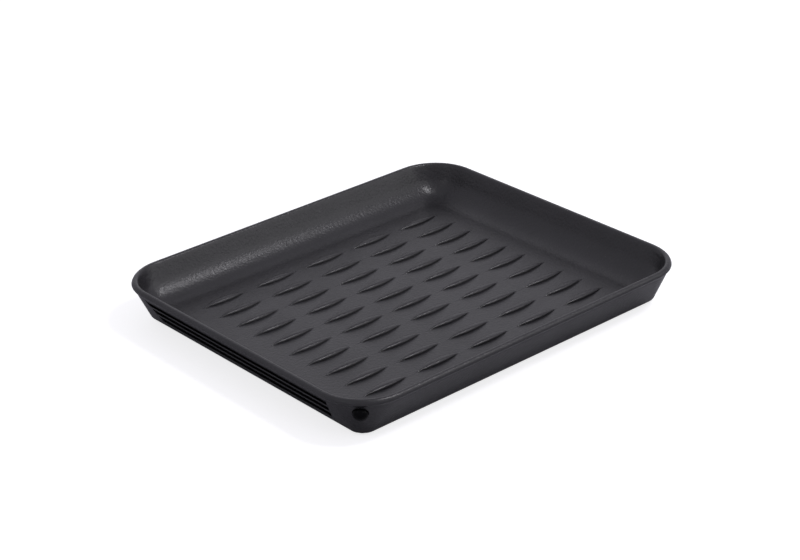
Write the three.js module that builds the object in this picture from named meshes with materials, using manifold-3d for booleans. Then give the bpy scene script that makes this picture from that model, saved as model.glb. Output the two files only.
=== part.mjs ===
// Shallow rectangular drip tray with a ribbed floor, a rolled lip, a grooved grip strip
// in each short wall, a push-in domed corner plug and four rubber feet. Millimetres, +Z up.
// +X runs along the long side. The origin is on the ground, under the middle of the tray.
import * as THREE from 'three';
import { mergeVertices } from 'three/addons/utils/BufferGeometryUtils.js';
import Module from 'manifold-3d';

const wasm = await Module();
wasm.setup();

// Driving dimensions of the tray
const trayLength = 155.4;
const trayWidth = 133;
const trayHeight = 16.4;          // ground to the top of the lip
const cornerRadius = 18.5;        // outer edge of the lip, seen from above
const footCornerRadius = 4.2;     // outer wall at its lowest, seen from above
const cornerSteps = 9;

const lipWidth = 2.3;             // across the top of the lip
const lipDepth = 2.2;             // height of the rolled edge
const lipOverhang = 1.6;          // how far the lip stands out over the wall
const underLipHeight = 1.5;       // concave run from the lip down to the wall
const underLipCurve = [[0.82, 0.45], [0.45, 0.85]];    // shares of the overhang and the run
const lipTuck = 0.3;              // start of the lip's lower edge, as a share of its radius
const wallDraft = 0.55;           // inward run for each millimetre down
const wallThickness = 1.8;        // measured level
const bottomEdgeRadius = 3.1;

const floorTop = 4.3;
const floorThickness = 2.2;
const coveRadius = 12;            // between the inner wall and the floor
const innerCornerMin = 5;         // smallest plan radius of the inner corners

const baseHeight = 0.5;           // the moulding's underside above the ground
const baseBandWidth = 5;          // flat band around the underside

// Raised ribs on the floor
const ribColumns = 5;
const ribRows = 10;
const ribEndMargin = 21.8;        // from the lip's outer edge to the first rib's tip
const ribSideMargin = 23.075;     // from the lip's outer edge to the first row's middle
const ribLength = 19;
const ribWidth = 3;
const ribHeight = 1.25;
const ribBluntness = 0.6;         // below 1 the sides are steeper and the top is flatter
const ribSides = 12;
const ribSteps = 8;

// Grip strips in the short walls
const gripBottom = 2.9;
const gripBelowRim = 3.4;         // from the lip's top down to the strip
const gripBacking = 0.45;         // wall left behind the pocket
const gripWeb = 0.35;             // left behind the grooves
const gripRib = 0.85;             // height of each rib
const gripTopRib = 0.3;           // height of the edge above the top groove
const gripGrooves = 3;
const gripEndMargin = 0.5;        // from the strip's end to the start of the corner
const gripEndTaper = 3.5;         // how much shorter each end is at the bottom

// Corner plug
const plugBelowRim = 5.6;         // from the lip's top to the plug's axis, at the wall's face
const plugRadius = 2.6;
const plugDepth = 1.1;            // into the wall
const plugDome = 2.2;             // how far its domed head stands out of the wall
const plugDomeSteps = 5;
const plugSides = 24;

// Feet
const footRadius = 5;
const footInset = 27;             // from the lip's outer edge to a foot's axis
const footChamfer = 0.5;
const footSides = 32;

// Clearances
const gripClearance = 0.15;
const plugClearance = 0.15;
const footClearance = 0.1;

// Values that follow from them
const draftAngle = Math.atan(wallDraft);
const wallTop = trayHeight - lipDepth - underLipHeight;
const outerInset = (z) => lipOverhang + wallDraft * (wallTop - z);
const innerInset = (z) => outerInset(z) + wallThickness;
const cornerTaper = (cornerRadius - footCornerRadius) / (trayHeight - baseHeight);
const wallCorner = (z) => footCornerRadius + cornerTaper * (z - baseHeight);
const ribPitchX = (trayLength - 2 * ribEndMargin - ribLength) / (ribColumns - 1);
const ribPitchY = (trayWidth - 2 * ribSideMargin) / (ribRows - 1);
const gripTop = trayHeight - gripBelowRim;
const gripDepth = wallThickness - gripBacking;
const plugHeight = trayHeight - plugBelowRim;
const gripHalfLength = trayWidth / 2 - outerInset(gripTop) - wallCorner(gripTop) - gripEndMargin;
const floorUnderside = floorTop - floorThickness;

function plastic(color, roughness) {
  return new THREE.MeshStandardMaterial({ color, roughness, metalness: 0 });
}

function toManifold(geometry) {
  const bare = geometry.clone();
  bare.deleteAttribute('normal');
  bare.deleteAttribute('uv');
  const merged = mergeVertices(bare, 1e-4);
  return new wasm.Manifold(new wasm.Mesh({
    numProp: 3,
    vertProperties: new Float32Array(merged.attributes.position.array),
    triVerts: new Uint32Array(merged.index.array),
  }));
}

function toGeometry(solid) {
  const mesh = solid.getMesh();
  const geometry = new THREE.BufferGeometry();
  geometry.setAttribute('position', new THREE.BufferAttribute(new Float32Array(mesh.vertProperties), 3));
  geometry.setIndex(new THREE.BufferAttribute(new Uint32Array(mesh.triVerts), 1));
  geometry.computeVertexNormals();
  return geometry;
}

function namedMesh(name, geometry, material) {
  const mesh = new THREE.Mesh(geometry, material);
  mesh.name = name;
  return mesh;
}

// Points of an arc in the (inset, z) plane, without its first point.
function arc(centreInset, centreZ, radius, from, to, steps) {
  return Array.from({ length: steps }, (_, k) => {
    const angle = from + (to - from) * (k + 1) / steps;
    return [centreInset + radius * Math.cos(angle), centreZ + radius * Math.sin(angle)];
  });
}

// One level ring of the tray: a rounded rectangle, inset from the lip's outer edge.
// Its corners follow the wall's, less the level distance behind the wall's face.
function ring([inset, z]) {
  const x = trayLength / 2 - inset;
  const y = trayWidth / 2 - inset;
  const wall = wallCorner(z);
  const behindFace = Math.max(inset - outerInset(z), 0);
  const r = Math.max(wall - behindFace, Math.min(wall, innerCornerMin));
  const shape = new THREE.Shape();
  shape.absarc(x - r, y - r, r, 0, Math.PI / 2);
  shape.absarc(r - x, y - r, r, Math.PI / 2, Math.PI);
  shape.absarc(r - x, r - y, r, Math.PI, 1.5 * Math.PI);
  shape.absarc(x - r, r - y, r, 1.5 * Math.PI, 2 * Math.PI);
  const corners = shape.curves.filter((curve) => curve.isEllipseCurve);
  return corners.flatMap((curve) => curve.getPoints(cornerSteps)).map((p) => [p.x, p.y, z]);
}

// A closed body lofted through level rings, with a flat fan over its first and last ring.
function loftRings(profile) {
  const rings = profile.map(ring);
  const count = rings[0].length;
  const points = rings.flat();
  const index = [];
  for (let k = 0; k + 1 < rings.length; k += 1) {
    for (let i = 0; i < count; i += 1) {
      const a = k * count + i;
      const b = k * count + (i + 1) % count;
      index.push(a, b, b + count, a, b + count, a + count);
    }
  }
  const last = (rings.length - 1) * count;
  const firstCentre = points.push([0, 0, profile[0][1]]) - 1;
  const lastCentre = points.push([0, 0, profile.at(-1)[1]]) - 1;
  for (let i = 0; i < count; i += 1) {
    const next = (i + 1) % count;
    index.push(firstCentre, next, i, lastCentre, last + i, last + next);
  }
  const geometry = new THREE.BufferGeometry();
  geometry.setAttribute('position', new THREE.Float32BufferAttribute(points.flat(), 3));
  geometry.setIndex(index);
  return geometry;
}

// The tray's section from the underside's middle, out around the wall and back over the floor.
function trayProfile() {
  const bottomTangent = baseHeight + bottomEdgeRadius * (1 - Math.sin(draftAngle));
  const bottomCentre = outerInset(bottomTangent) + bottomEdgeRadius * Math.cos(draftAngle);
  const bandInner = bottomCentre + baseBandWidth;
  const lipRadius = Math.min(lipWidth, lipDepth) / 2;
  const lipBottom = trayHeight - lipDepth;
  const coveTangent = floorTop + coveRadius * (1 - Math.sin(draftAngle));
  const coveCentre = innerInset(coveTangent) + coveRadius * Math.cos(draftAngle);
  const innerLip = Math.max(lipWidth, innerInset(trayHeight - lipRadius));
  return [
    [bandInner + floorUnderside - baseHeight, floorUnderside],
    [bandInner, baseHeight],
    [bottomCentre, baseHeight],
    ...arc(bottomCentre, baseHeight + bottomEdgeRadius, bottomEdgeRadius,
      1.5 * Math.PI, Math.PI + draftAngle, 5),
    [outerInset(wallTop), wallTop],
    ...underLipCurve.map(([out, up]) => [lipOverhang * out, wallTop + underLipHeight * up]),
    [lipRadius * lipTuck, lipBottom + lipRadius * lipTuck],
    [0, trayHeight - lipRadius],
    ...arc(lipRadius, trayHeight - lipRadius, lipRadius, Math.PI, Math.PI / 2, 4),
    ...arc(innerLip - lipRadius, trayHeight - lipRadius, lipRadius, Math.PI / 2, draftAngle, 4),
    ...arc(coveCentre, floorTop + coveRadius, coveRadius, Math.PI + draftAngle, 1.5 * Math.PI, 8),
  ];
}

// A ridge with pointed ends lying along X: a spindle with its section made blunt, half sunk
// in the floor.
function floorRib() {
  const outline = Array.from({ length: ribSteps + 1 }, (_, k) => {
    const s = 2 * k / ribSteps - 1;
    return new THREE.Vector2((1 - s * s) * ribWidth / 2, s * ribLength / 2);
  });
  const rib = new THREE.LatheGeometry(outline, ribSides);
  rib.rotateZ(-Math.PI / 2);
  const points = rib.attributes.position;
  const blunt = (part, radius) => radius * Math.sign(part) * (Math.abs(part) / radius) ** ribBluntness;
  for (let i = 0; i < points.count; i += 1) {
    const [y, z] = [points.getY(i), points.getZ(i)];
    const radius = Math.hypot(y, z);
    if (radius > 1e-6) points.setXYZ(i, points.getX(i), blunt(y, radius), blunt(z, radius));
  }
  rib.scale(1, 1, ribHeight / (ribWidth / 2));
  return rib;
}

function addRibs(body) {
  let solid = body;
  const rib = toManifold(floorRib());
  for (let column = 0; column < ribColumns; column += 1) {
    for (let row = 0; row < ribRows; row += 1) {
      const x = (column - (ribColumns - 1) / 2) * ribPitchX;
      const y = (row - (ribRows - 1) / 2) * ribPitchY;
      solid = solid.add(rib.translate([x, y, floorTop]));
    }
  }
  return solid;
}

// Level depth behind the short wall's face, at height z, as an X position on the -X side.
function wallX(z, depth) {
  return -trayLength / 2 + outerInset(z) + depth;
}

// A bar along Y whose section is drawn in the (x, z) plane, shorter towards its bottom.
function barAlongY(section, halfLength) {
  const shape = new THREE.Shape(section.map(([x, z]) => new THREE.Vector2(x, z)));
  const bar = new THREE.ExtrudeGeometry(shape, { depth: 2 * halfLength, bevelEnabled: false });
  bar.rotateX(Math.PI / 2);
  bar.translate(0, halfLength, 0);
  const points = bar.attributes.position;
  for (let i = 0; i < points.count; i += 1) {
    const below = (gripTop - points.getZ(i)) / (gripTop - gripBottom);
    points.setY(i, points.getY(i) * (1 - below * gripEndTaper / gripHalfLength));
  }
  return bar;
}

function gripPocket() {
  const outside = -1;
  const section = [
    [wallX(gripBottom, outside), gripBottom],
    [wallX(gripBottom, gripDepth), gripBottom],
    [wallX(gripTop, gripDepth), gripTop],
    [wallX(gripTop, outside), gripTop],
  ];
  return barAlongY(section, gripHalfLength);
}

function gripStrip() {
  const bottom = gripBottom + gripClearance;
  const top = gripTop - gripClearance;
  const back = gripDepth - gripClearance;
  const pitch = (top - bottom - gripTopRib) / gripGrooves;
  const front = [];
  for (let k = 0; k < gripGrooves; k += 1) {
    const ribTop = bottom + k * pitch + gripRib;
    const nextRib = bottom + (k + 1) * pitch;
    front.push([wallX(ribTop - gripRib, 0), ribTop - gripRib], [wallX(ribTop, 0), ribTop]);
    front.push([wallX(ribTop, back - gripWeb), ribTop], [wallX(nextRib, back - gripWeb), nextRib]);
  }
  front.push([wallX(top - gripTopRib, 0), top - gripTopRib], [wallX(top, 0), top]);
  const section = [[wallX(top, back), top], [wallX(bottom, back), bottom], ...front];
  return barAlongY(section, gripHalfLength - gripClearance);
}

// The plug's axis: from the wall's face at the corner, square to the sloping wall.
function plugFrame() {
  const radius = wallCorner(plugHeight);
  const reach = outerInset(plugHeight) + radius;
  const centre = new THREE.Vector3(reach - trayLength / 2, reach - trayWidth / 2, plugHeight);
  const outward = new THREE.Vector3(-Math.SQRT1_2, -Math.SQRT1_2, 0);
  const cornerSlope = Math.atan(Math.SQRT2 * wallDraft - (Math.SQRT2 - 1) * cornerTaper);
  const axis = outward.clone().multiplyScalar(Math.cos(cornerSlope));
  axis.z = -Math.sin(cornerSlope);
  return { face: centre.addScaledVector(outward, radius), axis };
}

// A turned solid whose +Y axis is laid along the plug's axis, with y = 0 on the wall's face.
function turnedOnPlugAxis(outline, sides) {
  const { face, axis } = plugFrame();
  const turned = new THREE.LatheGeometry(outline.map(([r, y]) => new THREE.Vector2(r, y)), sides);
  const turn = new THREE.Quaternion().setFromUnitVectors(new THREE.Vector3(0, 1, 0), axis);
  turned.applyQuaternion(turn);
  turned.translate(face.x, face.y, face.z);
  return turned;
}

function plugHole() {
  const outside = 1;
  const radius = plugRadius + plugClearance;
  const bottom = -(plugDepth + plugClearance);
  return turnedOnPlugAxis([[0, bottom], [radius, bottom], [radius, outside], [0, outside]], plugSides);
}

function plugBody() {
  const dome = Array.from({ length: plugDomeSteps }, (_, k) => {
    const angle = k / plugDomeSteps * Math.PI / 2;
    return [plugRadius * Math.cos(angle), plugDome * Math.sin(angle)];
  });
  return turnedOnPlugAxis([[0, -plugDepth], [plugRadius, -plugDepth], ...dome, [0, plugDome]], plugSides);
}

function foot() {
  const height = floorUnderside - footClearance;
  return new THREE.LatheGeometry([[0, 0], [footRadius - footChamfer, 0], [footRadius, footChamfer],
    [footRadius, height], [0, height]].map(([r, y]) => new THREE.Vector2(r, y)), footSides)
    .rotateX(Math.PI / 2);
}

function buildTray() {
  const group = new THREE.Group();
  const pocket = toManifold(gripPocket());
  const body = addRibs(toManifold(loftRings(trayProfile())))
    .subtract(pocket)
    .subtract(pocket.rotate([0, 0, 180]))
    .subtract(toManifold(plugHole()));
  group.add(namedMesh('tray_body', toGeometry(body), plastic('#2e2e31', 0.5)));

  const leftStrip = namedMesh('grip_strip_left', gripStrip(), plastic('#0b0b0d', 0.22));
  const rightStrip = namedMesh('grip_strip_right', gripStrip(), plastic('#0b0b0d', 0.22));
  rightStrip.rotation.z = Math.PI;
  group.add(leftStrip, rightStrip);
  group.add(namedMesh('corner_plug', plugBody(), plastic('#08080a', 0.15)));

  const footNames = { foot_front_left: [-1, -1], foot_front_right: [1, -1], foot_back_left: [-1, 1],
    foot_back_right: [1, 1] };
  Object.entries(footNames).forEach(([name, [sideX, sideY]]) => {
    const mesh = namedMesh(name, foot(), plastic('#1a1a1b', 0.9));
    mesh.position.set(sideX * (trayLength / 2 - footInset), sideY * (trayWidth / 2 - footInset), 0);
    group.add(mesh);
  });
  return group;
}

export default buildTray();
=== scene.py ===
import math
import bpy
import numpy as np
from mathutils import Matrix, Vector


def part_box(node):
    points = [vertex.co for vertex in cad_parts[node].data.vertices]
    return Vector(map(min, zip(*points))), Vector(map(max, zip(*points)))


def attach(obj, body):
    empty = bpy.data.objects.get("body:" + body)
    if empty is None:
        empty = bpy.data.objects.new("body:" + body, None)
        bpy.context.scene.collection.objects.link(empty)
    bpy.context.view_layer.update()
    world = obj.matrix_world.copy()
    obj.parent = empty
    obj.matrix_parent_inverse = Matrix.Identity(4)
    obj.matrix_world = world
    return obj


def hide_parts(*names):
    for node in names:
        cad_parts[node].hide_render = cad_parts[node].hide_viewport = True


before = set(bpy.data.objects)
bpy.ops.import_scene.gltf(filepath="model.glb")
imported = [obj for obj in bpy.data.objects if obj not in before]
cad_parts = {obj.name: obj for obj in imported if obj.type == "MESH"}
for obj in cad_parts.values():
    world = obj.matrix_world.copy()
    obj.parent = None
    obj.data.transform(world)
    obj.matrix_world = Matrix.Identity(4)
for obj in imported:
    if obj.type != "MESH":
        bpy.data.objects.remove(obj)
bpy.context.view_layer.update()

mm = 0.001
bodyLow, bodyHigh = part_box("tray_body")
print("frame loaded:", len(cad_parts), "nodes")


def makePiece(name, verts, faces, material, smoothAngle=40):
    mesh = bpy.data.meshes.new(name)
    mesh.from_pydata(np.asarray(verts, float).tolist(), [], faces)
    mesh.validate()
    piece = bpy.data.objects.new(name, mesh)
    bpy.context.scene.collection.objects.link(piece)
    smoothByAngle(piece, smoothAngle)
    mesh.materials.append(material)
    return piece


def smoothByAngle(piece, degrees):
    mesh = piece.data
    mesh.polygons.foreach_set("use_smooth", np.ones(len(mesh.polygons), bool))
    mesh.set_sharp_from_angle(angle=math.radians(degrees))
    mesh.update()


# quads between consecutive rows of a (rows x columns) grid of vertex numbers
def gridFaces(index, closeColumns=False):
    if closeColumns:
        index = np.concatenate([index, index[:, :1]], axis=1)
    a, b = index[:-1, :-1], index[:-1, 1:]
    c, d = index[1:, 1:], index[1:, :-1]
    return np.stack([a, b, c, d], -1).reshape(-1, 4)


# points of a circle arc, angles in degrees, first point left out
def arcPoints(centreX, centreZ, radius, start, end, steps):
    angle = np.radians(start + (end - start) * np.arange(1, steps + 1) / steps)
    return np.stack([centreX + radius * np.cos(angle), centreZ + radius * np.sin(angle)], 1)


# cubic Bezier between two points with a direction and a handle length at each, first point left out
def bendPoints(p0, d0, p1, d1, handle, steps):
    p0, d0, p1, d1 = (np.array(v, float) for v in (p0, d0, p1, d1))
    t = (np.arange(1, steps + 1) / steps)[:, None]
    q0, q1 = p0 + d0 * handle, p1 - d1 * handle
    return (1 - t) ** 3 * p0 + 3 * (1 - t) ** 2 * t * q0 + 3 * (1 - t) * t ** 2 * q1 + t ** 3 * p1


def newMaterial(name):
    material = bpy.data.materials.new(name)
    material.use_nodes = True
    nodes, links = material.node_tree.nodes, material.node_tree.links
    return material, nodes, links, nodes["Principled BSDF"]


def addNode(nodes, kind, **settings):
    node = nodes.new(kind)
    for key, value in settings.items():
        if key in node.inputs:
            node.inputs[key].default_value = value
        else:
            setattr(node, key, value)
    return node


def objectCoords(nodes):
    return nodes.new("ShaderNodeTexCoord").outputs["Object"]


# a shader group with named inputs and outputs: lists of (name, socket type, default)
def newGroup(name, inputs, outputs):
    group = bpy.data.node_groups.new(name, "ShaderNodeTree")
    for label, kind, value in inputs:
        socket = group.interface.new_socket(label, in_out="INPUT", socket_type=kind)
        if value is not None:
            socket.default_value = value
    for label, kind in outputs:
        group.interface.new_socket(label, in_out="OUTPUT", socket_type=kind)
    return group, group.nodes.new("NodeGroupInput"), group.nodes.new("NodeGroupOutput")


pitScale = 0.45         # the pits' scale, as a share of the fine grain's
scuffStretch = (70.0, 900.0, 900.0)
scuffTurn = 0.5         # radians about z
scuffFrom, scuffTo = 0.68, 0.78


# Spark-eroded grain: two sizes of noise mixed into one height.
def grainGroup():
    group, inp, out = newGroup(
        "mouldGrain",
        [("Vector", "NodeSocketVector", None), ("Scale", "NodeSocketFloat", 3200.0),
         ("Coarse", "NodeSocketFloat", 0.55)],
        [("Height", "NodeSocketFloat"), ("Mottle", "NodeSocketFloat")])
    nodes, links = group.nodes, group.links
    fine = addNode(nodes, "ShaderNodeTexNoise", Detail=3.0, Roughness=0.6)
    pits = addNode(nodes, "ShaderNodeTexVoronoi", feature="SMOOTH_F1")
    half = addNode(nodes, "ShaderNodeMath", operation="MULTIPLY")
    half.inputs[1].default_value = pitScale
    blend = addNode(nodes, "ShaderNodeMix", data_type="FLOAT")
    mottle = addNode(nodes, "ShaderNodeTexNoise", Scale=60.0, Detail=6.0, Roughness=0.65)
    links.new(inp.outputs["Vector"], fine.inputs["Vector"])
    links.new(inp.outputs["Vector"], pits.inputs["Vector"])
    links.new(inp.outputs["Vector"], mottle.inputs["Vector"])
    links.new(inp.outputs["Scale"], fine.inputs["Scale"])
    links.new(inp.outputs["Scale"], half.inputs[0])
    links.new(half.outputs[0], pits.inputs["Scale"])
    links.new(inp.outputs["Coarse"], blend.inputs["Factor"])
    links.new(fine.outputs["Fac"], blend.inputs["A"])
    links.new(pits.outputs["Distance"], blend.inputs["B"])
    links.new(blend.outputs["Result"], out.inputs["Height"])
    links.new(mottle.outputs["Fac"], out.inputs["Mottle"])
    return group


# Sparse pale specks of dust and a few long fine scuffs, as a mask from 0 to 1.
def wearGroup():
    group, inp, out = newGroup(
        "handlingWear",
        [("Vector", "NodeSocketVector", None), ("Speck Scale", "NodeSocketFloat", 420.0),
         ("Speck Amount", "NodeSocketFloat", 0.03)],
        [("Specks", "NodeSocketFloat"), ("Scuffs", "NodeSocketFloat")])
    nodes, links = group.nodes, group.links
    cells = addNode(nodes, "ShaderNodeTexVoronoi", Randomness=1.0)
    near = addNode(nodes, "ShaderNodeMath", operation="LESS_THAN")
    links.new(inp.outputs["Vector"], cells.inputs["Vector"])
    links.new(inp.outputs["Speck Scale"], cells.inputs["Scale"])
    links.new(cells.outputs["Distance"], near.inputs[0])
    links.new(inp.outputs["Speck Amount"], near.inputs[1])
    stretch = addNode(nodes, "ShaderNodeMapping", Scale=scuffStretch,
                      Rotation=(0.0, 0.0, scuffTurn))
    lines = addNode(nodes, "ShaderNodeTexNoise", Scale=1.0, Detail=2.0)
    sharp = addNode(nodes, "ShaderNodeMapRange")
    sharp.inputs["From Min"].default_value = scuffFrom
    sharp.inputs["From Max"].default_value = scuffTo
    links.new(inp.outputs["Vector"], stretch.inputs["Vector"])
    links.new(stretch.outputs["Vector"], lines.inputs["Vector"])
    links.new(lines.outputs["Fac"], sharp.inputs["Value"])
    links.new(near.outputs[0], out.inputs["Specks"])
    links.new(sharp.outputs["Result"], out.inputs["Scuffs"])
    return group


mouldGrain = grainGroup()
handlingWear = wearGroup()


def useGroup(nodes, group, **values):
    node = nodes.new("ShaderNodeGroup")
    node.node_tree = group
    for key, value in values.items():
        node.inputs[key.replace("_", " ")].default_value = value
    return node


trayFinish = {
    "dark": (0.0075, 0.0073, 0.0085, 1), "light": (0.0125, 0.0120, 0.0140, 1),
    "dust": (0.09, 0.09, 0.095, 1),
    "darkAt": 0.30, "lightAt": 0.72, "speckScale": 260.0, "speckAmount": 0.022,
    "roughLow": 0.28, "roughHigh": 0.40, "scuffPolish": 0.5,
    "grainScale": 2400.0, "grainHeight": 0.00014, "grainStrength": 0.9, "specular": 0.5,
}


def trayPlastic():
    f = trayFinish
    material, nodes, links, shader = newMaterial("moulded_charcoal_plastic")
    coords = objectCoords(nodes)
    grain = useGroup(nodes, mouldGrain, Scale=f["grainScale"])
    wear = useGroup(nodes, handlingWear, Speck_Scale=f["speckScale"],
                    Speck_Amount=f["speckAmount"])
    links.new(coords, grain.inputs["Vector"])
    links.new(coords, wear.inputs["Vector"])
    tint = addNode(nodes, "ShaderNodeValToRGB")
    tint.color_ramp.elements[0].position = f["darkAt"]
    tint.color_ramp.elements[0].color = f["dark"]
    tint.color_ramp.elements[1].position = f["lightAt"]
    tint.color_ramp.elements[1].color = f["light"]
    links.new(grain.outputs["Mottle"], tint.inputs["Fac"])
    dusty = addNode(nodes, "ShaderNodeMix", data_type="RGBA")
    dusty.inputs["B"].default_value = f["dust"]
    links.new(wear.outputs["Specks"], dusty.inputs["Factor"])
    links.new(tint.outputs["Color"], dusty.inputs["A"])
    links.new(dusty.outputs["Result"], shader.inputs["Base Color"])
    rough = addNode(nodes, "ShaderNodeMapRange")
    rough.inputs["To Min"].default_value = f["roughHigh"]
    rough.inputs["To Max"].default_value = f["roughLow"]
    scuffed = addNode(nodes, "ShaderNodeMath", operation="MULTIPLY_ADD")
    scuffed.inputs[1].default_value = f["scuffPolish"]
    links.new(wear.outputs["Scuffs"], scuffed.inputs[0])
    links.new(grain.outputs["Mottle"], scuffed.inputs[2])
    links.new(scuffed.outputs[0], rough.inputs["Value"])
    links.new(rough.outputs["Result"], shader.inputs["Roughness"])
    shader.inputs["Specular IOR Level"].default_value = f["specular"]
    bump = addNode(nodes, "ShaderNodeBump", Strength=f["grainStrength"],
                   Distance=f["grainHeight"])
    links.new(grain.outputs["Height"], bump.inputs["Height"])
    links.new(bump.outputs["Normal"], shader.inputs["Normal"])
    return material


stripFinish = {
    "dark": (0.0085, 0.0083, 0.0095, 1), "light": (0.0130, 0.0126, 0.0145, 1),
    "roughLow": 0.26, "roughHigh": 0.40, "specular": 0.5,
    "drawScale": (900.0, 40.0, 900.0), "drawStrength": 0.25, "drawHeight": 0.00003,
    # the grooves' near-black colour and low specular level are painted shade, standing in for the
    # shadow under each rib's ledge; grooveFrom and grooveTo give the depths over which it fades in
    "grooveShadeColour": (0.0009, 0.0009, 0.0011, 1), "grooveShadeSpecular": 0.06,
    "grooveFrom": 0.00018, "grooveTo": 0.00045,
}
plugFinish = {
    "dark": (0.0010, 0.0010, 0.0012, 1), "light": (0.0026, 0.0026, 0.0030, 1),
    "roughLow": 0.08, "roughHigh": 0.14, "specular": 0.05,
    "drawScale": (700.0, 700.0, 700.0), "drawStrength": 0.25, "drawHeight": 0.00003,
}


# How deep a point lies behind the sloping face of a short wall, as a mask from 0 to 1:
# depth is the face's distance from the middle, half length - overhang - draft times the drop
# below the wall's top, less the point's own distance from the middle.
# The strip's material paints shade with this mask: deeper in the grooves, its colour goes near
# black and its specular level drops.
def grooveGroup(faceAtTop, top, draft):
    group, inp, out = newGroup(
        "grooveDepth",
        [("Vector", "NodeSocketVector", None), ("From", "NodeSocketFloat", 0.0002),
         ("To", "NodeSocketFloat", 0.0005)],
        [("Mask", "NodeSocketFloat")])
    nodes, links = group.nodes, group.links
    split = nodes.new("ShaderNodeSeparateXYZ")
    away = addNode(nodes, "ShaderNodeMath", operation="ABSOLUTE")
    slope = addNode(nodes, "ShaderNodeMath", operation="MULTIPLY_ADD")
    slope.inputs[1].default_value = draft
    slope.inputs[2].default_value = faceAtTop - draft * top
    depth = addNode(nodes, "ShaderNodeMath", operation="SUBTRACT")
    level = nodes.new("ShaderNodeMapRange")
    links.new(inp.outputs["Vector"], split.inputs["Vector"])
    links.new(split.outputs["X"], away.inputs[0])
    links.new(split.outputs["Z"], slope.inputs[0])
    links.new(slope.outputs[0], depth.inputs[0])
    links.new(away.outputs[0], depth.inputs[1])
    links.new(depth.outputs[0], level.inputs["Value"])
    links.new(inp.outputs["From"], level.inputs["From Min"])
    links.new(inp.outputs["To"], level.inputs["From Max"])
    links.new(level.outputs["Result"], out.inputs["Mask"])
    return group


def glossBlack(name, f, grooves=None):
    material, nodes, links, shader = newMaterial(name)
    coords = objectCoords(nodes)
    drawn = addNode(nodes, "ShaderNodeMapping", Scale=f["drawScale"])
    streaks = addNode(nodes, "ShaderNodeTexNoise", Scale=1.0, Detail=4.0)
    links.new(coords, drawn.inputs["Vector"])
    links.new(drawn.outputs["Vector"], streaks.inputs["Vector"])
    tint = addNode(nodes, "ShaderNodeMix", data_type="RGBA")
    tint.inputs["A"].default_value = f["dark"]
    tint.inputs["B"].default_value = f["light"]
    links.new(streaks.outputs["Fac"], tint.inputs["Factor"])
    links.new(tint.outputs["Result"], shader.inputs["Base Color"])
    shader.inputs["Specular IOR Level"].default_value = f["specular"]
    # painted shade: deeper in the grooves, the base colour is mixed towards near black and the
    # specular level lowered, standing in for the shadow under the ribs' ledges
    if grooves:
        mask = useGroup(nodes, grooves, From=f["grooveFrom"], To=f["grooveTo"])
        links.new(coords, mask.inputs["Vector"])
        deep = addNode(nodes, "ShaderNodeMix", data_type="RGBA")
        deep.inputs["B"].default_value = f["grooveShadeColour"]
        links.new(mask.outputs["Mask"], deep.inputs["Factor"])
        links.new(tint.outputs["Result"], deep.inputs["A"])
        links.new(deep.outputs["Result"], shader.inputs["Base Color"])
        dull = nodes.new("ShaderNodeMapRange")
        dull.inputs["To Min"].default_value = f["specular"]
        dull.inputs["To Max"].default_value = f["grooveShadeSpecular"]
        links.new(mask.outputs["Mask"], dull.inputs["Value"])
        links.new(dull.outputs["Result"], shader.inputs["Specular IOR Level"])
    rough = addNode(nodes, "ShaderNodeMapRange")
    rough.inputs["To Min"].default_value = f["roughLow"]
    rough.inputs["To Max"].default_value = f["roughHigh"]
    links.new(streaks.outputs["Fac"], rough.inputs["Value"])
    links.new(rough.outputs["Result"], shader.inputs["Roughness"])
    bump = addNode(nodes, "ShaderNodeBump", Strength=f["drawStrength"], Distance=f["drawHeight"])
    links.new(streaks.outputs["Fac"], bump.inputs["Height"])
    links.new(bump.outputs["Normal"], shader.inputs["Normal"])
    return material


footFinish = {
    "dark": (0.016, 0.016, 0.016, 1), "light": (0.034, 0.033, 0.032, 1), "rough": 0.85,
    "grainScale": 1800.0, "coarse": 0.6, "grainStrength": 0.5, "grainHeight": 0.00008,
}


def footRubber():
    f = footFinish
    material, nodes, links, shader = newMaterial("matt_foot_rubber")
    coords = objectCoords(nodes)
    grain = useGroup(nodes, mouldGrain, Scale=f["grainScale"], Coarse=f["coarse"])
    links.new(coords, grain.inputs["Vector"])
    tint = addNode(nodes, "ShaderNodeMix", data_type="RGBA")
    tint.inputs["A"].default_value = f["dark"]
    tint.inputs["B"].default_value = f["light"]
    links.new(grain.outputs["Mottle"], tint.inputs["Factor"])
    links.new(tint.outputs["Result"], shader.inputs["Base Color"])
    shader.inputs["Roughness"].default_value = f["rough"]
    bump = addNode(nodes, "ShaderNodeBump", Strength=f["grainStrength"],
                   Distance=f["grainHeight"])
    links.new(grain.outputs["Height"], bump.inputs["Height"])
    links.new(bump.outputs["Normal"], shader.inputs["Normal"])
    return material


trayMaterial = trayPlastic()
plugMaterial = glossBlack("gloss_black_plug", plugFinish)
rubberMaterial = footRubber()
print("materials made")


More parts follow.
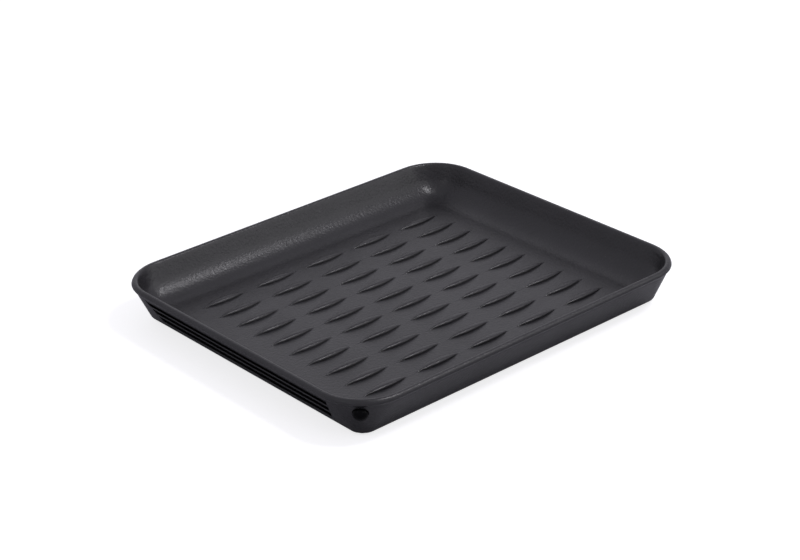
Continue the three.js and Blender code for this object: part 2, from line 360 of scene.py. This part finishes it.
tray = {
    "length": (bodyHigh.x - bodyLow.x) / mm, "width": (bodyHigh.y - bodyLow.y) / mm,
    "top": bodyHigh.z / mm, "base": bodyLow.z / mm,
    "cornerRadius": 18.5, "lowCornerRadius": 4.2, "innerCornerMin": 5.0,
    "lipWidth": 2.3, "lipDepth": 2.2, "lipOverhang": 1.6, "underLip": 1.5,
    "draft": 0.55, "wall": 1.8, "bottomEdge": 3.1, "cove": 12.0,
    "floorTop": 4.3, "floorThickness": 2.2, "baseBand": 5.0,
    "lipTurn": 235.0, "underLipHandle": 0.8,      # where the lip's round ends, in degrees
    "bandRound": 0.3, "edgeBreak": 0.1, "recessRound": 0.4,
    "flatRings": (0.3, 0.65, 1.0),                # from the rib grid out to the cove's foot
}
ribs = {
    "columns": 5, "rows": 10, "pitchX": 23.2, "pitchY": 9.65,
    "length": 19.0, "width": 3.0, "height": 1.25, "steepness": 3.0, "roundness": 0.4,
    "taper": 0.8, "linesAlong": 31, "margin": 1.4, "leastLineHalf": 0.5, "leastHalf": 0.02,
    "linesAcross": (0.0, 0.3, 0.55, 0.72, 0.83, 0.9, 0.95, 0.985, 1.0),
    "linesBetween": (0.04, 0.16, 0.5), "gapLine": 0.55, "edgeGap": 0.2,
}
draftDegrees = math.degrees(math.atan(tray["draft"]))
wallTop = tray["top"] - tray["lipDepth"] - tray["underLip"]
cornerTaper = (tray["cornerRadius"] - tray["lowCornerRadius"]) / (tray["top"] - tray["base"])


def outerInset(z):
    return tray["lipOverhang"] + tray["draft"] * (wallTop - z)


# plan radius of the outer wall's corners at height z
def wallCorner(z):
    return tray["lowCornerRadius"] + cornerTaper * (z - tray["base"])


# half width of the rib outline along x, and its height share: 1 - s squared in each column
def ribShare(x):
    centres = (np.arange(ribs["columns"]) - (ribs["columns"] - 1) / 2) * ribs["pitchX"]
    s = (x[:, None] - centres[None]) / (ribs["length"] / 2)
    return np.clip(1 - s * s, 0, None).max(1)


# Floor: x lines are even along each rib; y lines spread with the rib's outline.
# Each rib is a ridge with steep sides. Its height is the rib's share to the taper power, times
# (1 - |q| to the steepness power) to the roundness power, where q runs from -1 to 1 across it.
def floorGrid():
    r = ribs
    halfX = (r["columns"] - 1) / 2 * r["pitchX"] + r["length"] / 2 + r["margin"]
    gap = (r["pitchX"] - r["length"]) / 2
    along = np.linspace(-r["length"] / 2, r["length"] / 2, r["linesAlong"])
    cell = np.concatenate([along, [r["length"] / 2 + gap * r["gapLine"]]])
    centres = (np.arange(r["columns"]) - (r["columns"] - 1) / 2) * r["pitchX"]
    x = (centres[:, None] + cell[None]).ravel()
    x = np.concatenate([[-halfX], x[:-1], [halfX]])
    share = ribShare(x)
    half = r["width"] / 2 * share
    lineHalf = np.hypot(half, r["leastLineHalf"] * (1 - share))
    inner = np.array(r["linesAcross"])
    inner = np.concatenate([-inner[:0:-1], inner])
    outer = np.array(r["linesBetween"])
    rowHalf = r["pitchY"] / 2
    rowsY = (np.arange(r["rows"]) - (r["rows"] - 1) / 2) * r["pitchY"]
    low = -(lineHalf[:, None] + (rowHalf - lineHalf[:, None]) * outer[None, ::-1])
    mid = lineHalf[:, None] * inner[None]
    offsets = np.concatenate([low, mid, -low[:, ::-1]], 1)
    offsets = np.concatenate([offsets, np.full((len(x), 1), rowHalf)], 1)
    y = (rowsY[None, :, None] + offsets[:, None, :]).reshape(len(x), -1)[:, :-1]
    halfY = rowsY[-1] + r["width"] / 2 + r["margin"]
    inside = halfY - r["edgeGap"]
    y = np.concatenate([np.full((len(x), 1), -halfY), np.clip(y, -inside, inside),
                        np.full((len(x), 1), halfY)], 1)
    nearest = rowsY[np.abs(y[..., None] - rowsY).argmin(-1)]
    q = np.minimum(np.abs(y - nearest) / np.maximum(half[:, None], r["leastHalf"]), 1)
    lift = (1 - q ** r["steepness"]) ** r["roundness"]
    z = tray["floorTop"] + r["height"] * share[:, None] ** r["taper"] * lift
    return np.broadcast_to(x[:, None], y.shape), y, z, halfX, halfY


# Section from the floor's edge up the cove and wall, over the lip and down to the underside.
def traySection():
    t = tray
    lean = draftDegrees
    leanAngle, under = math.radians(lean), math.radians(t["lipTurn"])
    lipRadius = min(t["lipWidth"], t["lipDepth"]) / 2
    coveTangent = t["floorTop"] + t["cove"] * (1 - math.sin(leanAngle))
    coveCentre = outerInset(coveTangent) + t["wall"] + t["cove"] * math.cos(leanAngle)
    innerLip = max(t["lipWidth"], outerInset(t["top"] - lipRadius) + t["wall"])
    bottomTangent = t["base"] + t["bottomEdge"] * (1 - math.sin(leanAngle))
    bottomCentre = outerInset(bottomTangent) + t["bottomEdge"] * math.cos(leanAngle)
    bandInner = bottomCentre + t["baseBand"]
    underside = t["floorTop"] - t["floorThickness"]
    lipEnd = (lipRadius * (1 + math.cos(under)),
              t["top"] - lipRadius + lipRadius * math.sin(under))
    lipWay = (-math.sin(under), math.cos(under))
    wallWay = (math.sin(leanAngle), -math.cos(leanAngle))
    wallStart = (outerInset(wallTop), wallTop)
    upper = arcPoints(innerLip - lipRadius, t["top"] - lipRadius, lipRadius, lean, 90, 7)
    cove = arcPoints(coveCentre, t["floorTop"] + t["cove"], t["cove"], 270, 180 + lean, 16)
    wallSteps = np.linspace(0, 1, 6)[1:-1, None]
    innerWall = cove[-1] + (upper[0] - cove[-1]) * wallSteps
    wallRun = np.array([outerInset(bottomTangent), bottomTangent]) - np.array(wallStart)
    outerWall = np.array(wallStart) + wallRun * np.linspace(0, 1, 9)[1:, None]
    recess = bandInner + underside - t["base"]
    return coveCentre, np.concatenate([
        cove, innerWall, upper,
        arcPoints(lipRadius, t["top"] - lipRadius, lipRadius, 90, t["lipTurn"], 12),
        bendPoints(lipEnd, lipWay, wallStart, wallWay, t["underLipHandle"], 7),
        outerWall,
        arcPoints(bottomCentre, t["base"] + t["bottomEdge"], t["bottomEdge"], 180 + lean, 270, 8),
        [[bandInner - t["bandRound"], t["base"]], [bandInner, t["base"] + t["edgeBreak"]]],
        [[recess, underside - t["edgeBreak"]], [recess + t["recessRound"], underside]],
    ])


# Rounded rectangle, inset from the lip's outer edge. Its corners follow the wall's, less the
# level distance behind the wall's face. Each side runs from the middle of one corner to the
# middle of the next, by arc length, at the shares given.
def roundedRing(inset, z, sideShares):
    inset = np.asarray(inset, float)[:, None]
    wall = wallCorner(np.asarray(z, float)[:, None])
    behindFace = np.maximum(inset - outerInset(np.asarray(z, float)[:, None]), 0)
    halfX, halfY = tray["length"] / 2 - inset, tray["width"] / 2 - inset
    radius = np.maximum(wall - behindFace, np.minimum(wall, tray["innerCornerMin"]))
    xs, ys = [], []
    for side, shares in enumerate(sideShares):
        run, reach = (halfX, halfY) if side % 2 == 0 else (halfY, halfX)
        straight = run - radius
        way = shares[None] * (straight + radius * math.pi / 4)
        turn = np.clip((np.abs(way) - straight) / radius, 0, None)
        along = np.where(turn > 0, np.sign(way) * (straight + radius * np.sin(turn)), way)
        out = reach - radius + radius * np.cos(turn)
        turned = [(along, -out), (out, along), (-along, out), (-out, -along)][side]
        xs.append(turned[0])
        ys.append(turned[1])
    return np.concatenate(xs, 1), np.concatenate(ys, 1)


def trayShell():
    gx, gy, gz, halfX, halfY = floorGrid()
    nx, ny = gx.shape
    number = np.arange(nx * ny).reshape(nx, ny)
    edge = np.concatenate([number[:-1, 0], number[-1, :-1], number[:0:-1, -1], number[0, :0:-1]])
    flatX, flatY = gx.ravel(), gy.ravel()
    sideShares = [gx[:-1, 0] / halfX, gy[-1, :-1] / halfY,
                  -gx[:0:-1, -1] / halfX, -gy[0, :0:-1] / halfY]
    coveCentre, section = traySection()
    firstX, firstY = roundedRing([coveCentre], [tray["floorTop"]], sideShares)
    steps = np.array(tray["flatRings"])[:, None]
    flatRingX = flatX[edge] + (firstX - flatX[edge]) * steps
    flatRingY = flatY[edge] + (firstY - flatY[edge]) * steps
    ringX, ringY = roundedRing(section[:, 0], section[:, 1], sideShares)
    ringX = np.concatenate([flatRingX, ringX])
    ringY = np.concatenate([flatRingY, ringY])
    flatZ = np.full(len(steps), tray["floorTop"])
    ringZ = np.concatenate([flatZ, section[:, 1]])[:, None] + 0 * ringX
    rings = np.stack([ringX, ringY, ringZ], -1).reshape(-1, 3)
    verts = np.concatenate([np.stack([flatX, flatY, gz.ravel()], 1), rings]) * mm
    ringNumber = nx * ny + np.arange(len(rings)).reshape(ringX.shape)
    ringNumber = np.concatenate([edge[None], ringNumber])
    faces = np.concatenate([gridFaces(number), gridFaces(ringNumber, True)[:, ::-1]])
    underside = ringNumber[-1][::-1].tolist()
    return verts, faces.tolist() + [underside]


verts, faces = trayShell()
trayPiece = makePiece("tray_shell", verts, faces, trayMaterial)
print("tray shell:", len(trayPiece.data.vertices), "vertices")


strip = {
    "bottom": 2.9, "top": 13.0, "depth": 1.35, "web": 0.35, "rib": 0.85, "topRib": 0.3,
    "grooves": 3, "clearance": 0.15, "rounding": 0.14, "endMargin": 0.5, "endTaper": 3.5,
    "sections": 24, "pocketRounding": 0.05, "pocketProud": 1.0,
}
stripHalf = (tray["width"] / 2 - outerInset(strip["top"]) - wallCorner(strip["top"])
             - strip["endMargin"])


# a closed outline with each corner replaced by a short curve
def roundCorners(points, radius, steps=4):
    points = np.asarray(points, float)
    before, after = np.roll(points, 1, 0), np.roll(points, -1, 0)
    t = np.linspace(0, 1, steps + 1)[None, :, None]

    def towards(other):
        way = other - points
        length = np.linalg.norm(way, axis=1, keepdims=True)
        return points + way / length * np.minimum(radius, length * 0.45)

    start, end = towards(before)[:, None], towards(after)[:, None]
    corner = points[:, None]
    return ((1 - t) ** 2 * start + 2 * (1 - t) * t * corner + t ** 2 * end).reshape(-1, 2)


# a section in (x, z), in millimetres, carried along y and shorter towards its bottom,
# with flat end caps
def barAlongY(section, halfLength, sections):
    section = np.asarray(section, float)
    ys = np.linspace(-halfLength, halfLength, sections)
    x = np.broadcast_to(section[None, :, 0], (sections, len(section)))
    z = np.broadcast_to(section[None, :, 1], (sections, len(section)))
    below = (strip["top"] - z) / (strip["top"] - strip["bottom"])
    y = ys[:, None] * (1 - below * strip["endTaper"] / stripHalf)
    verts = np.stack([x, y, z], -1).reshape(-1, 3) * mm
    index = np.arange(len(verts)).reshape(sections, len(section))
    faces = gridFaces(index, True).tolist()
    faces += [index[0][::-1].tolist(), index[-1].tolist()]
    return verts, faces


def wallX(z, depth):
    return -tray["length"] / 2 + outerInset(z) + depth


def stripSection():
    s = strip
    bottom, top = s["bottom"] + s["clearance"], s["top"] - s["clearance"]
    back = s["depth"] - s["clearance"]
    pitch = (top - bottom - s["topRib"]) / s["grooves"]
    front = []
    for k in range(s["grooves"]):
        low, following = bottom + k * pitch, bottom + (k + 1) * pitch
        high = low + s["rib"]
        front += [(wallX(low, 0), low), (wallX(high, 0), high),
                  (wallX(high, back - s["web"]), high),
                  (wallX(following, back - s["web"]), following)]
    front += [(wallX(top - s["topRib"], 0), top - s["topRib"]), (wallX(top, 0), top)]
    behind = [(wallX(top, back), top), (wallX(bottom, back), bottom)]
    return roundCorners(behind + front, s["rounding"])


# turned half way round the z axis
def turnedAbout(verts):
    return verts * np.array([-1, -1, 1])


faceAtTop = tray["length"] / 2 - tray["lipOverhang"]
# the depth mask that paints shade into the strip's grooves
faceDepth = grooveGroup(faceAtTop * mm, wallTop * mm, tray["draft"])
stripMaterial = glossBlack("gloss_black_strip", stripFinish, faceDepth)
verts, faces = barAlongY(stripSection(), stripHalf - strip["clearance"], strip["sections"])
leftStrip = makePiece("grip_strip_left_ribbed", verts, faces, stripMaterial, 50)
rightStrip = makePiece("grip_strip_right_ribbed", turnedAbout(verts), faces, stripMaterial,
                       50)
print("grip strips made")


plug = {
    "height": 10.8, "radius": 2.6, "depth": 1.1, "dome": 2.2, "clearance": 0.15, "segments": 64,
    "domeSteps": 16, "domeEnd": 88, "backInner": 0.5, "backOuter": 0.94, "backRound": 0.08,
    "holeProud": 1.0,
}


# surface of revolution: a profile of (radius, distance along the axis) turned about an axis
def turnedSolid(profile, origin, axis, segments):
    axis = Vector(axis).normalized()
    side = axis.orthogonal().normalized()
    third = axis.cross(side)
    angle = np.linspace(0, 2 * math.pi, segments, endpoint=False)
    radius, along = np.asarray(profile, float).T
    ring = np.cos(angle)[:, None] * np.array(side) + np.sin(angle)[:, None] * np.array(third)
    verts = (np.array(origin) + radius[:, None, None] * ring[None]
             + along[:, None, None] * np.array(axis)).reshape(-1, 3)
    index = np.arange(len(verts)).reshape(len(profile), segments)
    faces = gridFaces(index, True).tolist()
    faces += [index[0][::-1].tolist(), index[-1].tolist()]
    return verts, faces


def plugFrame():
    lean = math.atan(math.sqrt(2) * tray["draft"] - (math.sqrt(2) - 1) * cornerTaper)
    radius = wallCorner(plug["height"])
    reach = outerInset(plug["height"]) + radius
    out = np.array([-math.sqrt(0.5), -math.sqrt(0.5), 0])
    centre = np.array([reach - tray["length"] / 2, reach - tray["width"] / 2, plug["height"]])
    axis = out * math.cos(lean) + np.array([0, 0, -math.sin(lean)])
    return (centre + out * radius) * mm, axis


plugFace, plugAxis = plugFrame()


def plugButton():
    p = plug
    r, back = p["radius"], -p["depth"]
    angle = np.linspace(0, math.radians(p["domeEnd"]), p["domeSteps"])
    dome = np.stack([r * np.cos(angle), p["dome"] * np.sin(angle)], 1)
    shank = [(r * p["backInner"], back), (r * p["backOuter"], back), (r, back + p["backRound"])]
    profile = np.concatenate([shank, dome])
    return turnedSolid(profile * mm, plugFace, plugAxis, p["segments"])


verts, faces = plugButton()
plugPiece = makePiece("corner_plug_button", verts, faces, plugMaterial, 50)
print("plug made")


foot = {"edge": 0.5, "segments": 72, "rings": 5, "ringDepth": 0.12, "ringReach": 0.92,
        "ringSteps": 61, "middle": 0.02, "topBreak": 0.1}


# a disc with a rounded lower edge and shallow rings turned in its underside
def footProfile(radius, height):
    f = foot
    inner = np.linspace(f["middle"], (radius - f["edge"]) * f["ringReach"], f["ringSteps"])
    turns = 2 * math.pi * f["rings"] * inner / inner[-1]
    waves = f["ringDepth"] * (0.5 - 0.5 * np.cos(turns)) ** 2
    top = [[radius, height - f["topBreak"]], [radius - f["topBreak"], height],
           [f["middle"], height]]
    edge = arcPoints(radius - f["edge"], f["edge"], f["edge"], 270, 360, 8)
    return np.concatenate([np.stack([inner, waves], 1), [[radius - f["edge"], 0]], edge, top])


footPieces = []
for name in sorted(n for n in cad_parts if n.startswith("foot_")):
    low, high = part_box(name)
    centre = ((low.x + high.x) / 2, (low.y + high.y) / 2, low.z)
    profile = footProfile((high.x - low.x) / 2 / mm, (high.z - low.z) / mm)
    verts, faces = turnedSolid(profile * mm, centre, (0, 0, 1), foot["segments"])
    pad = makePiece(name + "_pad", verts, faces, rubberMaterial, 50)
    footPieces.append((pad, name))
print("feet made:", len(footPieces))


def cutFrom(piece, name, verts, faces):
    mesh = bpy.data.meshes.new(name)
    mesh.from_pydata(np.asarray(verts).tolist(), [], faces)
    cutter = bpy.data.objects.new(name, mesh)
    bpy.context.scene.collection.objects.link(cutter)
    modifier = piece.modifiers.new("cut", "BOOLEAN")
    modifier.operation, modifier.solver, modifier.object = "DIFFERENCE", "EXACT", cutter
    bpy.context.view_layer.update()
    evaluated = piece.evaluated_get(bpy.context.evaluated_depsgraph_get())
    cut = bpy.data.meshes.new_from_object(evaluated)
    piece.modifiers.clear()
    old, piece.data = piece.data, cut
    bpy.data.meshes.remove(old)
    bpy.data.objects.remove(cutter)


def pocketSection():
    s = strip
    return roundCorners([(wallX(s["bottom"], -s["pocketProud"]), s["bottom"]),
                         (wallX(s["top"], -s["pocketProud"]), s["top"]),
                         (wallX(s["top"], s["depth"]), s["top"]),
                         (wallX(s["bottom"], s["depth"]), s["bottom"])], s["pocketRounding"])


verts, faces = barAlongY(pocketSection(), stripHalf, 2)
cutFrom(trayPiece, "left_pocket", verts, faces)
cutFrom(trayPiece, "right_pocket", turnedAbout(verts), faces)
holeRadius = plug["radius"] + plug["clearance"]
holeEnd = -(plug["depth"] + plug["clearance"])
holeProfile = np.array([(holeRadius, holeEnd), (holeRadius, plug["holeProud"])])
verts, faces = turnedSolid(holeProfile * mm, plugFace, plugAxis, plug["segments"])
cutFrom(trayPiece, "plug_hole", verts, faces)
smoothByAngle(trayPiece, 40)
print("pockets cut:", len(trayPiece.data.polygons), "faces")

mainPieces = [(trayPiece, "tray_body"), (leftStrip, "grip_strip_left"),
              (rightStrip, "grip_strip_right"), (plugPiece, "corner_plug")]
for piece, node in mainPieces + footPieces:
    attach(piece, "root")
    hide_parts(node)


stage = {"floorSize": 3.0, "floorColour": (0.50, 0.50, 0.52, 1), "lift": 0.12, "glow": 6.2}


# the floor is pale by its colour, and camera rays see part of it as plain white
def stageFloor():
    material, nodes, links, shader = newMaterial("white_sweep")
    shader.inputs["Base Color"].default_value = stage["floorColour"]
    shader.inputs["Roughness"].default_value = 0.9
    shader.inputs["Specular IOR Level"].default_value = 0.0
    glow = addNode(nodes, "ShaderNodeEmission", Strength=stage["glow"])
    glow.inputs["Color"].default_value = (1, 1, 1, 1)
    path = nodes.new("ShaderNodeLightPath")
    share = addNode(nodes, "ShaderNodeMath", operation="MULTIPLY")
    share.inputs[1].default_value = stage["lift"]
    mix = nodes.new("ShaderNodeMixShader")
    links.new(path.outputs["Is Camera Ray"], share.inputs[0])
    links.new(share.outputs[0], mix.inputs["Fac"])
    links.new(shader.outputs["BSDF"], mix.inputs[1])
    links.new(glow.outputs["Emission"], mix.inputs[2])
    links.new(mix.outputs["Shader"], nodes["Material Output"].inputs["Surface"])
    half = stage["floorSize"] / 2
    corners = [(-half, -half, 0), (half, -half, 0), (half, half, 0), (-half, half, 0)]
    mesh = bpy.data.meshes.new("table")
    mesh.from_pydata(corners, [], [(0, 1, 2, 3)])
    mesh.materials.append(material)
    table = bpy.data.objects.new("table", mesh)
    bpy.context.scene.collection.objects.link(table)


def softBox(name, direction, distance, size, strength, colour):
    data = bpy.data.lights.new(name, "AREA")
    data.shape, data.size, data.color = "DISK", size, colour
    data.energy = strength * math.pi * math.pi * (size / 2) ** 2
    lamp = bpy.data.objects.new(name, data)
    way = Vector(direction).normalized()
    lamp.location = way * distance
    lamp.rotation_mode = "QUATERNION"
    lamp.rotation_quaternion = way.to_track_quat("Z", "Y")
    bpy.context.scene.collection.objects.link(lamp)


# a tinted surround for every ray but the camera's, which see plain white
def worldLight(strength, colour):
    world = bpy.data.worlds.new("studio")
    world.use_nodes = True
    nodes, links = world.node_tree.nodes, world.node_tree.links
    back = nodes["Background"]
    path = nodes.new("ShaderNodeLightPath")
    shade = addNode(nodes, "ShaderNodeMix", data_type="RGBA")
    shade.inputs["A"].default_value = (*(c * strength for c in colour), 1)
    shade.inputs["B"].default_value = (1, 1, 1, 1)
    links.new(path.outputs["Is Camera Ray"], shade.inputs["Factor"])
    links.new(shade.outputs["Result"], back.inputs["Color"])
    bpy.context.scene.world = world


# the view: turned about z, raised, rolled, and aimed a little off the floor's middle
view = {"turn": 40.932, "raise": 26.443, "roll": -1.544, "distance": 735.24, "lens": 93.304,
        "aimRight": -1.055, "aimUp": 6.504}


def makeCamera():
    v = view
    turn, rise, roll = (math.radians(v[k]) for k in ("turn", "raise", "roll"))
    back = Vector((-math.sin(turn) * math.cos(rise), -math.cos(turn) * math.cos(rise),
                   math.sin(rise)))
    right = Vector((math.cos(turn), -math.sin(turn), 0))
    up = back.cross(right)
    rolledRight = right * math.cos(roll) + up * math.sin(roll)
    rolledUp = up * math.cos(roll) - right * math.sin(roll)
    middle = Vector((0, 0, tray["floorTop"]))
    aim = middle + rolledRight * v["aimRight"] + rolledUp * v["aimUp"]
    place = (aim + back * v["distance"]) * mm
    data = bpy.data.cameras.new("camera")
    data.sensor_width, data.lens, data.clip_end = 36.0, v["lens"], 20.0
    camera = bpy.data.objects.new("camera", data)
    axes = Matrix((rolledRight, rolledUp, back)).transposed().to_4x4()
    camera.matrix_world = Matrix.Translation(place) @ axes
    bpy.context.scene.collection.objects.link(camera)
    bpy.context.scene.camera = camera


# name, direction from the tray, distance, size across, strength, colour
lamps = [
    ("key", (0.30, -0.40, 0.866), 0.9, 0.16, 42.0, (1.0, 0.985, 1.03)),
    ("sideRight", (0.62, -0.68, 0.38), 0.9, 0.60, 0.95, (1, 1, 1)),
    ("fillRight", (0.02, -0.85, 0.53), 0.9, 0.18, 3.0, (1, 1, 1)),
    ("fillLeft", (-0.84, -0.10, 0.53), 0.9, 0.18, 1.9, (1, 1, 1)),
    ("back", (0.587, 0.676, 0.445), 1.0, 0.80, 0.22, (1, 1, 1)),
]
surround = {"strength": 0.58, "colour": (0.99, 0.965, 1.07)}

stageFloor()
for lamp in lamps:
    softBox(*lamp)
worldLight(surround["strength"], surround["colour"])
makeCamera()
bpy.context.scene.view_settings.view_transform = "Standard"
print("stage, light and camera ready")
